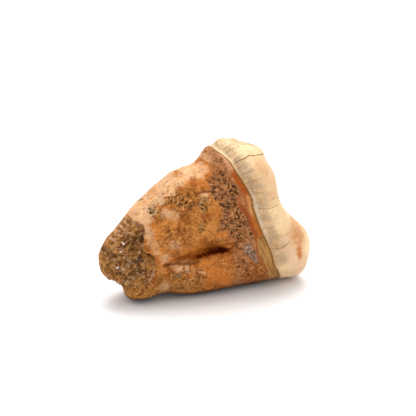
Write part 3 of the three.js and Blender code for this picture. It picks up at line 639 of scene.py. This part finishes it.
def makeTooth():
    # the smooth surface moved along its normals by the form's relief, the pits, the grain and the break
    smooth = smoothSurface()
    place = l, b, h = np.moveaxis(smooth, -1, 0)
    overEdge = h - enamelEdgeAt(l)
    overRim = h - curveThrough(neck["rimFrom"])(l)
    overBand = h - curveThrough(neck["bandFrom"])(l)
    mask = breakMask(place, *broken["formB"])
    painted = breakMask(place, *broken["paintB"])
    onRoot = smoothStep(0.3, -1.0, overEdge)
    rim = smoothStep(-0.25, 0.25, overRim) * smoothStep(0.15, -0.15, overEdge)
    collar = rim * smoothStep(neck["collarFrom"], neck["collarTo"], l)

    form = crownRelief(place, overEdge) + onRoot * layered(rootLumps, place) - broken["depth"] * mask
    for furrow in (openFurrow, furrowLip, furrowSlot, shallowFurrow):
        form = form + furrowRelief(furrow, place)
    onSide = smoothStep(spotsFromB, spotsFullAtB, b)
    for atL, atH, rise, alongL, alongH in spots:
        form = form + rise * bell((l - atL) / alongL, (h - atH) / alongH) * onSide

    closeness = pitCloseness(place, overBand) * smoothStep(0.2, -0.2, overRim) * (1 - mask)
    coarse = pitMask("coarse", place, closeness)
    fine = pitMask("fine", place, 0.75 * closeness)
    crack = crackDepth(place)
    grain = onRoot * (1 - 0.8 * rim) * (1 - mask) * layered(rootGrain, place, 11)
    ridges = neck["collarRise"] * np.cos(2 * np.pi * overEdge / neck["collarLine"]) * collar
    shards = (rise * shardHeight(place, size, seed) for size, rise, seed in broken["shards"])
    inBreak = mask * sum(shards, layered(broken["lumps"], place))
    relief = (form + grain + ridges + inBreak - crack + neck["rimRise"] * rim * (1 - collar)
              - pits["coarse"]["depth"] * coarse - pits["fine"]["depth"] * fine)
    relief[0] = relief[1].mean()
    relief[-1] = relief[-2].mean()
    placed = seatInBox(layDown(smooth + normalsOf(smooth) * relief[..., None]))

    attributes = {
        "place": smooth, "overEdge": overEdge, "overRim": overRim, "overBand": overBand, "broken": painted,
        "overSlot": l - curveThrough(furrowSlot["line"])(h), "overLeaves": l - curveThrough(leafEdge)(h),
        # painted shade: darker close over the floor
        "undersideShade": smoothStep(*undersideShadeHeights, placed[..., 2]), "pitted": closeness,
        "pit": np.maximum(coarse, 0.7 * fine), "crack": np.clip(crack / fullTone["crack"], 0, 1),
        "grain": np.clip(0.5 + grain / fullTone["grain"], 0, 1),
        "shard": np.clip(0.5 + inBreak / fullTone["shard"], 0, 1),
    }
    attributes.update({kind: patchMask(kind, place) for kind in patches})
    attributes.update({kind: painted * spotMask(brokenSpots[kind], place) for kind in brokenSpots})
    attributes.update(zip(("markOffset", "markWidth", "markDark"), nearestMark(place)))
    return meshOf("fossil_tooth", placed, attributes)


toothPiece = makeTooth()
print("tooth surface made:", len(toothPiece.data.polygons), "faces")


class Wire:
    # the output of a shader node; + - * / between wires and numbers add Math nodes
    def __init__(self, nodeTree, socket):
        self.nodeTree, self.socket = nodeTree, socket

    def maths(self, operation, first, second):
        return addNode(self.nodeTree, "ShaderNodeMath", {"operation": operation}, {0: first, 1: second})

    def __add__(self, other):
        return self.maths("ADD", self, other)

    def __sub__(self, other):
        return self.maths("SUBTRACT", self, other)

    def __mul__(self, other):
        return self.maths("MULTIPLY", self, other)

    def __truediv__(self, other):
        return self.maths("DIVIDE", self, other)

    def __rsub__(self, other):
        return self.maths("SUBTRACT", other, self)

    def __abs__(self):
        return self.maths("ABSOLUTE", self, 0)

    def atLeast(self, other):
        return self.maths("MAXIMUM", self, other)

    def atMost(self, other):
        return self.maths("MINIMUM", self, other)

    __radd__, __rmul__ = __add__, __mul__


def addNode(nodeTree, kind, settings, sockets, output=0):
    # one node of this kind: settings first, then the values or wires of its sockets; gives one output
    node = nodeTree.nodes.new(kind)
    for key, value in settings.items():
        if getattr(node, key) != value:
            setattr(node, key, value)
    for key, value in sockets.items():
        if isinstance(value, Wire):
            nodeTree.links.new(value.socket, node.inputs[key])
        else:
            node.inputs[key].default_value = value
    return Wire(nodeTree, node.outputs[output])


def linearColour(red, green, blue):
    # from the usual 0..255 scale to the linear values that nodes take
    share = np.array([red, green, blue]) / 255
    linear = np.where(share <= 0.04045, share / 12.92, ((share + 0.055) / 1.055) ** 2.4)
    return (*linear.tolist(), 1)


def newMaterial(name):
    material = bpy.data.materials.new(name)
    material.use_nodes = True
    return material, material.node_tree.nodes["Principled BSDF"]


def floorMaterial():
    material, shader = newMaterial("white_floor")
    shader.inputs["Base Color"].default_value = (*studio["floorColour"], 1)
    shader.inputs["Roughness"].default_value = studio["floorRoughness"]
    return material


finish = {
    "gloss": 0.1,            # specular level, the same all over
    "roughness": {"root": 0.62, "pitted": 0.8, "rim": 0.34, "enamel": 0.36, "broken": 0.55},
    "patchStrength": {       # laid over the root's colour in this order
        "tan": 0.75, "rust": 0.85, "glow": 0.65, "pale": 0.85, "mossy": 0.7, "dark": 0.75},
}
palette = {                  # red, green and blue from 0 to 255
    # root and its patches, and the painted shade under the root
    "orange": (182, 111, 46), "deep": (150, 78, 20), "light": (218, 144, 72), "vein": (108, 54, 14),
    "speck": (78, 44, 16), "bead": (232, 170, 108), "undersideShade": (70, 34, 14),
    "tan": (160, 110, 50), "rust": (120, 56, 8), "glow": (204, 118, 40), "pale": (244, 202, 158),
    "mossy": (146, 126, 82), "dark": (70, 42, 16), "ashen": (118, 92, 72), "ashenLight": (186, 170, 148),
    # pitted band, painted shade in the open furrow, smooth rim, collar and seam
    "band": (134, 81, 44), "bandLight": (180, 120, 76), "pit": (58, 38, 20),
    "furrow": (156, 80, 8), "slotShade": (80, 20, 0),
    "rim": (160, 92, 46), "rimRed": (146, 60, 8), "rimBright": (168, 72, 4), "rimOrange": (180, 98, 16),
    "rimPale": (206, 140, 78), "rimPink": (210, 154, 114),
    "collar": (184, 136, 74), "collarDark": (144, 100, 44), "seam": (122, 86, 38),
    # broken face; breakDark also serves as its painted shade
    "break": (150, 98, 44), "breakTan": (204, 146, 82), "breakDark": (76, 42, 14),
    "breakPink": (212, 160, 120), "breakWarm": (196, 134, 70), "glint": (236, 226, 214),
    # enamel and chewing face
    "cream": (230, 190, 144), "whitish": (248, 216, 168), "buff": (202, 164, 120), "greyBuff": (162, 140, 112),
    "chalk": (234, 220, 200), "blotch": (206, 150, 98), "pinkish": (222, 182, 152),
    "stain": (190, 100, 10), "basin": (170, 112, 60), "crack": (126, 86, 50),
}


def fossilMaterial():
    # layers of colour over one another: root, band, furrow, rim, broken face, and the enamel beside them
    material, shader = newMaterial("fossil")
    shader.inputs["Specular IOR Level"].default_value = finish["gloss"]
    tree = material.node_tree

    def layer(name, isVector=False):
        settings = {"attribute_type": "GEOMETRY", "attribute_name": name}
        return addNode(tree, "ShaderNodeAttribute", settings, {}, "Vector" if isVector else "Fac")

    place = layer("place", True)
    overEdge, overRim, overBand, overLeaves = (layer("over" + line) for line in ("Edge", "Rim", "Band", "Leaves"))
    inBreak, pit, pitted, grain, shard = (layer(name) for name in ("broken", "pit", "pitted", "grain", "shard"))

    def ramp(start, end, value):
        # 0 up to start, 1 from end on, joined by 3t^2 - 2t^3
        return addNode(tree, "ShaderNodeMapRange", {"interpolation_type": "SMOOTHSTEP"},
                       {"Value": value, "From Min": start, "From Max": end})

    def between(value, start, full, fades, end):
        return ramp(start, full, value) * ramp(end, fades, value)

    def mix(first, second, share):
        # colours come by name or as wires
        first, second = (linearColour(*palette[c]) if isinstance(c, str) else c for c in (first, second))
        return addNode(tree, "ShaderNodeMix", {"data_type": "RGBA"}, {"Factor": share, 6: first, 7: second}, 2)

    def paint(colour, *coats):
        # coats of (colour, share) laid over it in turn
        for coat, share in coats:
            colour = mix(colour, coat, share)
        return colour

    def vector(x, y, z):
        return addNode(tree, "ShaderNodeCombineXYZ", {}, {0: x, 1: y, 2: z})

    def noise(size, detail=2, roughness=0.5, at=place, distortion=0, output=0):
        return addNode(tree, "ShaderNodeTexNoise", {}, {
            "Vector": at, "Scale": 1 / size, "Detail": detail, "Roughness": roughness,
            "Distortion": distortion}, output)

    def cells(size, at=place, feature="F1", output=0):
        return addNode(tree, "ShaderNodeTexVoronoi", {"feature": feature}, {"Vector": at, "Scale": 1 / size}, output)

    def gaps(size, at):
        # how far the nearest border between two cells is
        return cells(size, at, "DISTANCE_TO_EDGE")

    def separate(wire):
        node = addNode(tree, "ShaderNodeSeparateXYZ", {}, {0: wire}).socket.node
        return [Wire(tree, output) for output in node.outputs]

    def warpBy(size, reach):
        # the place moved about by a colour noise
        return addNode(tree, "ShaderNodeVectorMath", {"operation": "MULTIPLY_ADD"}, {
            0: noise(size, 3, output=1), 1: (reach,) * 3, 2: place})

    l, b, h = separate(place)
    warped, warpedFine = warpBy(1.1, 1.6), warpBy(0.5, 0.5)
    wobble = noise(0.9, 3) - 0.5
    fineWobble = noise(0.4) - 0.5
    near = ramp(patchesFromB, patchesFullAtB, b)

    # root: mottled orange, a net of thin veins, patches, pale loops, dark pores and light beads
    cloud = ramp(0.4, 0.66, noise(1.3, 5, 0.65, distortion=0.6))
    veins = ramp(0.09, 0, gaps(1.5, warped)) * ramp(0.42, 0.62, noise(2.2))
    crackle = ramp(0.16, 0.02, gaps(0.55, warpedFine)) * ramp(0.38, 0.6, noise(1.4))
    root = paint(mix("deep", "orange", ramp(0.36, 0.64, noise(3.2, 4, 0.6))),
                 ("light", cloud * 0.55), ("vein", veins * 0.5), ("vein", crackle * 0.4))
    fleck = ramp(0.3, 0.7, noise(0.55, 4, 0.7))
    fibres = ramp(0.35, 0.62, noise(0.5, 3, 0.6, vector(l + 0.5 * wobble, b, h * 0.5)))
    for kind, strength in finish["patchStrength"].items():
        share = 0.55 + 0.46 * (0.6 * fleck + 0.4 * fibres) if kind == "pale" else 0.4 + 0.8 * fleck
        root = mix(root, kind, layer(kind) * (strength * share).atMost(1))
    loops = ramp(0.035, 0, abs(noise(1.7) - 0.5)) * ramp(0.45, 0.6, noise(2.6))
    speckled = 0.3 + 0.7 * layer("speckled")
    pore = ramp(0.03, -0.05, noise(0.42, 2, 0.6) - 0.33 - 0.11 * speckled)
    bead = ramp(-0.03, 0.06, noise(0.36, 2, 0.6) - 0.62 + 0.06 * speckled)
    root = paint(root, ("light", loops * 0.5), ("bead", bead * (0.25 + 0.4 * speckled)),
                 ("speck", pore * (0.3 + 0.45 * speckled)))

    # pitted band under the neck, the ashen patches, the pits, the cracks, and painted shade on the underside
    inBand = ramp(-0.5, 0.5, overBand + 1.4 * wobble)
    band = mix("band", "bandLight", ramp(0.36, 0.6, noise(0.6, 4, 0.7)))
    ashen = layer("ashen")
    hole = ramp(0.03, -0.04, noise(0.28, 2, 0.55) - 0.28 - 0.15 * pitted)
    finePit = ramp(0.32, 0.14, cells(0.34)) * ramp(0.25, 0.75, pitted + 0.3 * wobble)
    # darker where the grain sinks, in patches
    lowGrainDarkening = ramp(0.55, 0.25, grain) * ramp(0.45, 0.65, noise(1.6))
    darkness = 0.85 * pit + 0.85 * hole + 0.5 * finePit + 0.35 * lowGrainDarkening
    root = paint(root, (band, inBand * (0.85 - 0.78 * layer("rust")).atLeast(0)), ("ashen", ashen * 0.85),
                 ("ashenLight", ashen * ramp(0.5, 0.6, noise(0.34, 2, 0.6)) * 0.7),
                 ("bead", ramp(0.54, 0.62, noise(0.4, 2, 0.6)) * pitted * 0.5),
                 ("pit", (darkness * 0.8).atMost(0.84)), ("vein", layer("crack") * 0.8),
                 ("undersideShade", layer("undersideShade") * 0.85))

    # the open furrow in painted shade: brown fading upwards from its line, darkest and streaked above it, sharp along
    # the lip, with a thin line towards the tips and a branch towards the neck
    overSlot = layer("overSlot") + 0.25 * fineWobble
    sharpBelow = ramp(-furrowSlot["shadeBelow"], -0.05, overSlot)
    strokes = 0.5 + 0.9 * ramp(0.35, 0.65, noise(0.35, 3, 0.6, vector(l * 0.25, h, b * 0.25)))
    furrowShade = sharpBelow * ramp(2.3, 0.1, overSlot) * between(h, -16, -10.5, -6.8, -5.8)
    core = (sharpBelow * ramp(1.35, 0.25, overSlot) * between(h, -10.6, -8.6, -6.7, -6.3)
            + between(overSlot, -0.14, -0.02, 0.06, 0.3) * between(h, -12.6, -11.4, -6.6, -6.2))
    line = between(overSlot, -0.2, -0.05, 0.05, 0.2) * between(h, -17.3, -16.4, -12, -10)
    branch = ramp(0.26, 0.08, abs(overSlot - (h + 7.3) * 0.45)) * between(h, -7.6, -7.1, -5.6, -4.1)
    slotShade = ((core * strokes + branch * 0.8) * 0.97 + line * 0.2) * near
    root = paint(root, ("furrow", furrowShade * near * 0.9), ("slotShade", slotShade.atMost(0.99)))

    # smooth rim: red along its lower border, orange above, pale and pink stretches, collar layers, seam
    inRim = ramp(-0.12, 0.12, overRim + 0.5 * wobble)
    ragged = overRim + 0.3 * wobble
    bright = ramp(-1.25, -0.8, overEdge + 0.4 * wobble) * ramp(5.6, 6.6, l) * ramp(10.6, 9.9, l + wobble)
    inCollar = ramp(-1.2, -2.6, l)
    lines = noise(0.3, 2, 0.5, vector(l * 0.08, b * 0.08, overEdge))
    rim = paint(mix("rim", "rimPink", ramp(0.45, 0.66, noise(0.8, 4, 0.7)) * 0.5),
                ("rimRed", ramp(0.9, 0.45, ragged) * near * between(l, -2.2, -1.2, 4.4, 5.6) * 0.85),
                ("rimOrange", ramp(0.45, 0.8, ragged) * near * between(l, -2.4, -1.2, 2, 3.4) * 0.85),
                ("rimPale", ramp(-1.1, -0.75, overEdge) * near * between(l, 1.8, 3, 5.8, 6.6) * 0.8),
                ("rimBright", bright * near * 0.9), ("rimPink", near * ramp(10, 10.8, l + wobble) * 0.7),
                ("rimRed", inCollar * 0.6),
                (mix("collarDark", "collar", ramp(0.34, 0.56, lines)), inCollar * ramp(0.25, 0.5, overRim) * 0.92),
                ("speck", ramp(0.42, 0.34, noise(0.34, 2, 0.6)) * 0.35))
    seam = ramp(-0.38, -0.3, overEdge + 0.12 * wobble) * (0.4 + 0.9 * noise(0.7)).atMost(1)
    root = paint(root, (rim, inRim * 0.92), ("seam", seam * 0.9))

    # broken face: many small grains, each of its own tone, dark gaps between them, warmer towards the margin, painted
    # shade where it sinks
    coarseGrain, fineGrain = (separate(cells(size, warpedFine, output=1)) for size in (0.75, 0.4))
    gap = ramp(0.13, 0.02, gaps(0.75, warpedFine)) + 0.6 * ramp(0.12, 0.02, gaps(0.4, warpedFine))
    crystal = ramp(0.8, 0.86, fineGrain[2]) * ramp(0.3, 0.8, layer("crystals") + wobble)
    glint = ramp(0.35, 0.7, layer("glints") + 0.4 * fineWobble)
    crumb = paint(mix("break", "breakTan", ramp(0.35, 0.9, coarseGrain[0])), ("breakWarm", layer("warm")),
                  # painted shade over the low parts of the broken face
                  ("breakDark", ramp(0.45, 0.2, shard + 0.5 * fineWobble) * 0.6),
                  ("breakDark", ramp(0.6, 0.95, fineGrain[0]) * 0.5),
                  ("breakPink", ramp(0.6, 0.8, fineGrain[1]) * ramp(0.3, 0.7, coarseGrain[1]) * 0.8),
                  ("breakPink", ramp(0.3, 0.7, layer("pinkish") + 0.4 * fineWobble) * 0.85),
                  ("breakDark", layer("sunkenShade") * 0.75),
                  ("pit", gap.atMost(1) * ramp(0.42, 0.62, noise(0.9)) * 0.5),
                  ("glint", (glint * 0.9 + crystal * 0.5).atMost(0.9)))
    root = mix(root, crumb, ramp(0.15, 0.6, inBreak + 0.3 * fineWobble))

    # enamel: buff near its edge, cream above, pale and pinkish stretches, grey shade, blotches, a chalky strip
    pale = (ramp(8, 12, l + 2 * wobble) * 0.65
            + ramp(4, 1.5, l + wobble) * ramp(-3.5, -1, l) * ramp(1.8, 2.6, h) * 0.7
            + ramp(5.3, 6.2, h) * ramp(-5.5, -7, l) * 0.8)
    greyZone = ramp(0, 0.45, overEdge) * ramp(3.2, 1.2, overEdge + wobble) * ramp(0.35, 0.6, noise(1.5, 3))
    blotch = ramp(0.5, 0.7, noise(0.8, 4, 0.7)) + 0.6 * ramp(0.5, 0.66, noise(0.34, 2, 0.6))
    chalky = (ramp(0.05, 0.2, overEdge) * ramp(0.8, 0.4, overEdge + 0.4 * wobble) * near
              * between(l, -4, -1, 5, 7) * ramp(0.3, 0.6, noise(0.5, 3, 0.6)))
    mottled = 0.6 + 0.6 * ramp(0.35, 0.65, noise(0.5, 4, 0.7))
    crown = paint(mix("buff", "cream", ramp(0.4, 3.6, overEdge + 1.2 * wobble)), ("whitish", pale),
                  ("pinkish", ramp(-3, -4.5, l) * between(h, 1.8, 2.6, 3.6, 4.6) * 0.5),
                  ("greyBuff", greyZone * 0.6), ("blotch", (blotch * 0.3).atMost(0.45)),
                  ("chalk", ramp(0.5, 0.36, noise(0.42, 3, 0.6)) * 0.2), ("chalk", chalky * 0.45),
                  ("stain", (layer("stain") * mottled * 0.95).atMost(0.95)))

    # chewing face: buff inside its rim, a brown basin with fissures
    fromMiddle = (l / 11.5) * (l / 11.5) + (b / 4.6) * (b / 4.6)
    inBasin = ramp(0.9, 0, fromMiddle) * ramp(3.5, 4.6, h)
    crown = paint(crown, ("buff", ramp(1.3, 0.6, fromMiddle + wobble) * ramp(3.5, 5, h) * 0.55),
                  ("basin", inBasin * (0.35 + 0.5 * cloud)),
                  ("crack", ramp(0.06, 0, gaps(2.2, warped)) * inBasin * 0.8))

    # streaks, hair cracks and marks along the tooth, painted shade along the folds, and thin leaves by the enamel's
    # front end
    lanes = vector(l + 0.15 * wobble, b + 0.15 * wobble, h * 0.03)
    streaks = ramp(0.52, 0.72, noise(0.45, 3, 0.6, lanes)) * ramp(3.6, 0.4, overEdge)
    hair = ramp(0.05, 0, gaps(2.2, lanes)) * ramp(4.5, 2, overEdge + 3 * wobble)
    width = layer("markWidth")
    mark = ramp(width, 0.2 * width, abs(layer("markOffset") + 0.22 * wobble)) * layer("markDark") * near
    leaves = ramp(0.5, 0.42, noise(0.28, 2, 0.5, vector(overLeaves, h * 0.1, b * 0.1)))
    leafLine = leaves * ramp(-0.1, -0.4, overLeaves) + ramp(0.13, 0.03, abs(overLeaves + 0.2 * wobble))
    crown = paint(crown, ("greyBuff", streaks * 0.4), ("crack", hair * (0.15 + 0.35 * (1 - near))),
                  # painted light: the enamel's front end, low over the floor, made whitish for the light the floor
                  # throws up
                  ("whitish", ramp(-7.6, -9.6, l) * ramp(4.5, 2, h) * 0.7),
                  ("pinkish", ramp(-8.8, -9.8, l) * ramp(1.4, 2.8, h) * 0.45),
                  ("crack", mark * (0.7 + 0.4 * fleck).atMost(1)), ("crack", leafLine * near * 0.26))

    isEnamel = ramp(-0.06, 0.06, overEdge + 0.12 * fineWobble)
    tree.links.new(mix(root, crown, isEnamel).socket, shader.inputs["Base Color"])

    rough = finish["roughness"]
    roughness = rough["root"]
    for key, share in (("pitted", pitted), ("rim", inRim), ("broken", inBreak), ("enamel", isEnamel)):
        roughness = roughness + (rough[key] - roughness) * share
    tree.links.new((roughness + 0.12 * fineWobble).socket, shader.inputs["Roughness"])

    # heights in millimetres for the finest grain, the small pits and the lines over the enamel
    rootHeight = (0.07 * noise(0.5, 4, 0.65) * (1 - 0.7 * inRim) - 0.16 * hole - 0.08 * finePit - 0.06 * pore
                  - 0.05 * veins + inBreak * (0.1 * noise(0.4, 3, 0.7) + 0.09 * fineGrain[0] - 0.05 * gap))
    enamelHeight = 0.02 * noise(0.7, 3, 0.6, lanes) - 0.03 * hair
    bump = addNode(tree, "ShaderNodeBump", {}, {
        "Strength": 1, "Distance": mm, "Height": (1 - isEnamel) * rootHeight + isEnamel * enamelHeight})
    tree.links.new(bump.socket, shader.inputs["Normal"])
    return material


toothPiece.data.materials.append(fossilMaterial())
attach(toothPiece, "root")
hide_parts("tooth")
print("fossil material made")

studio = {
    "floorHalfSize": 1.5, "floorDrop": 0.02 * mm, "floorColour": (0.9, 0.9, 0.9), "floorRoughness": 0.8,
    "skyLow": 0.4, "skyHigh": 1.4,   # strength at the horizon and overhead
    "keyPower": 3.2, "keySize": 0.5, "keyPlace": (0.1, 0.22, 0.6), "keyAim": (0, 0, 0.01),
}
view = {
    "azimuth": -26, "elevation": 22, "lens": 150, "sensor": 36,
    "pixelSize": 0.17 * mm, "pixels": 416, "target": (1.71 * mm, -0.02 * mm, 14 * mm),
}


def makeFloor():
    half, z = studio["floorHalfSize"], -studio["floorDrop"]
    mesh = bpy.data.meshes.new("floor")
    mesh.from_pydata([(-half, -half, z), (half, -half, z), (half, half, z), (-half, half, z)], [], [(0, 1, 2, 3)])
    floor = bpy.data.objects.new("floor", mesh)
    bpy.context.scene.collection.objects.link(floor)
    mesh.materials.append(floorMaterial())


def makeLight():
    # a white sky, stronger overhead than at the horizon, and one large lamp
    scene = bpy.context.scene
    scene.world = bpy.data.worlds.new("studio")
    scene.world.use_nodes = True
    tree = scene.world.node_tree
    upwards = addNode(tree, "ShaderNodeSeparateXYZ", {}, {
        0: addNode(tree, "ShaderNodeTexCoord", {}, {}, "Generated")}, 2)
    strength = addNode(tree, "ShaderNodeMapRange", {}, {
        "Value": upwards, "To Min": studio["skyLow"], "To Max": studio["skyHigh"]})
    sky = tree.nodes["Background"]
    sky.inputs["Color"].default_value = (1, 1, 1, 1)
    tree.links.new(strength.socket, sky.inputs["Strength"])
    lamp = bpy.data.lights.new("key", "AREA")
    lamp.energy = studio["keyPower"]
    lamp.size = studio["keySize"]
    key = bpy.data.objects.new("key", lamp)
    key.location = studio["keyPlace"]
    key.rotation_euler = (Vector(studio["keyAim"]) - key.location).to_track_quat("-Z", "Y").to_euler()
    scene.collection.objects.link(key)
    scene.view_settings.view_transform = "Standard"


def makeCamera():
    # stands back from the target so that one pixel of the picture is pixelSize wide there
    lensData = bpy.data.cameras.new("camera")
    lensData.lens = view["lens"]
    lensData.sensor_width = view["sensor"]
    lensData.clip_start = 0.01
    camera = bpy.data.objects.new("camera", lensData)
    azimuth, elevation = np.radians(view["azimuth"]), np.radians(view["elevation"])
    back = Vector((np.sin(azimuth) * np.cos(elevation), -np.cos(azimuth) * np.cos(elevation), np.sin(elevation)))
    distance = view["pixelSize"] * view["pixels"] * view["lens"] / view["sensor"]
    camera.location = Vector(view["target"]) + back * distance
    camera.rotation_euler = back.to_track_quat("Z", "Y").to_euler()
    bpy.context.scene.collection.objects.link(camera)
    bpy.context.scene.camera = camera


makeFloor()
makeLight()
makeCamera()
print("studio ready")
